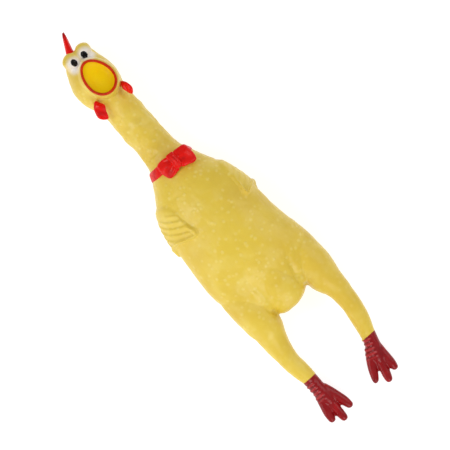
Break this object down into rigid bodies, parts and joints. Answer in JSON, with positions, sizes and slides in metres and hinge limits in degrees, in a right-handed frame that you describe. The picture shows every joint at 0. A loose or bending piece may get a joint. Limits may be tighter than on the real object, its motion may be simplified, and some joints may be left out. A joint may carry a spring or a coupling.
{
  "type": "rubber chicken",
  "caption": "Limp plucked toy chicken in hollow soft vinyl with open beak, bow collar and dangling legs; squeals when squeezed.",
  "frame": {"origin": "bottom centre of the bounding box; the bird lies on its back on z = 0", "axes": "+Y from the feet towards the head, +Z out of the belly and face, +X the bird's left side"},
  "size_m": [0.0978, 0.4, 0.0602],
  "materials": {
    "vinyl_yellow": "satin soft vinyl, pale yellow",
    "paint_red": "glossy red paint on soft vinyl",
    "mouth_amber": "satin amber paint",
    "rim_orange_red": "glossy orange-red paint",
    "eye_white": "satin off-white paint",
    "pupil_black": "glossy black paint",
    "foot_dark_red": "satin dark red paint on soft vinyl",
    "squeaker_white": "smooth white moulding",
    "reed_red": "smooth red moulding",
    "reed_film": "thin translucent film"
  },
  "bodies": {
    "torso": {"torso_skin": "vinyl_yellow", "right_wing": "vinyl_yellow", "left_wing": "vinyl_yellow", "collar_band": "paint_red", "bow_knot": "paint_red", "bow_right_loop": "paint_red", "bow_left_loop": "paint_red", "squeaker_barrel": "squeaker_white", "reed_bed": "reed_red", "squeaker_cap": "squeaker_white"},
    "belly": {"belly_skin": "vinyl_yellow"},
    "neck": {"neck_skin": "vinyl_yellow"},
    "head": {"head_skin": "vinyl_yellow", "mouth_lining": "mouth_amber", "mouth_rim": "rim_orange_red", "right_eye": "eye_white", "left_eye": "eye_white", "right_pupil": "pupil_black", "left_pupil": "pupil_black"},
    "comb": {"comb": "paint_red"},
    "right_wattle": {"right_wattle": "paint_red"},
    "left_wattle": {"left_wattle": "paint_red"},
    "right_leg": {"right_leg": "vinyl_yellow"},
    "left_leg": {"left_leg": "vinyl_yellow"},
    "right_foot": {"right_foot": "foot_dark_red"},
    "left_foot": {"left_foot": "foot_dark_red"},
    "reed": {"reed_tongue": "reed_film"}
  },
  "joints": [
    {"name": "neck_bend", "type": "hinge", "parent": "torso", "child": "neck", "pos_m": [-0.0007, 0.07128, 0.027], "axis": [1, 0, 0], "range_deg": [-2, 32], "stiffness_Nm_per_rad": 1.6},
    {"name": "head_nod", "type": "hinge", "parent": "neck", "child": "head", "pos_m": [-0.0007, 0.13128, 0.027], "axis": [1, 0, 0], "range_deg": [-5, 15], "stiffness_Nm_per_rad": 1},
    {"name": "comb_flex", "type": "hinge", "parent": "head", "child": "comb", "pos_m": [-0.0014, 0.18388, 0.026], "axis": [0, 0, 1], "range_deg": [-20, 20], "stiffness_Nm_per_rad": 0.02},
    {"name": "right_wattle_flex", "type": "hinge", "parent": "head", "child": "right_wattle", "pos_m": [-0.0142, 0.13968, 0.048], "axis": [1, 0, 0], "range_deg": [-30, 0], "stiffness_Nm_per_rad": 0.01},
    {"name": "left_wattle_flex", "type": "hinge", "parent": "head", "child": "left_wattle", "pos_m": [0.0154, 0.13528, 0.048], "axis": [1, 0, 0], "range_deg": [-30, 0], "stiffness_Nm_per_rad": 0.01},
    {"name": "right_hip", "type": "hinge", "parent": "torso", "child": "right_leg", "pos_m": [-0.0315, -0.08572, 0.025], "axis": [1, 0, 0], "range_deg": [-40, 2], "stiffness_Nm_per_rad": 0.9},
    {"name": "left_hip", "type": "hinge", "parent": "torso", "child": "left_leg", "pos_m": [0.033, -0.08572, 0.025], "axis": [1, 0, 0], "range_deg": [-40, 2], "stiffness_Nm_per_rad": 0.9},
    {"name": "right_ankle", "type": "hinge", "parent": "right_leg", "child": "right_foot", "pos_m": [-0.033, -0.15572, 0.014], "axis": [1, 0, 0], "range_deg": [-30, 5], "stiffness_Nm_per_rad": 0.25},
    {"name": "left_ankle", "type": "hinge", "parent": "left_leg", "child": "left_foot", "pos_m": [0.0274, -0.15872, 0.014], "axis": [1, 0, 0], "range_deg": [-30, 5], "stiffness_Nm_per_rad": 0.25},
    {"name": "belly_press", "type": "slide", "parent": "torso", "child": "belly", "axis": [0, 0, -1], "range_m": [0, 0.009], "stiffness_N_per_m": 900},
    {"name": "reed_flex", "type": "hinge", "parent": "torso", "child": "reed", "pos_m": [0.0007, -0.07552, 0.02555], "axis": [1, 0, 0], "range_deg": [-4, 4], "stiffness_Nm_per_rad": 0.002}
  ]
}
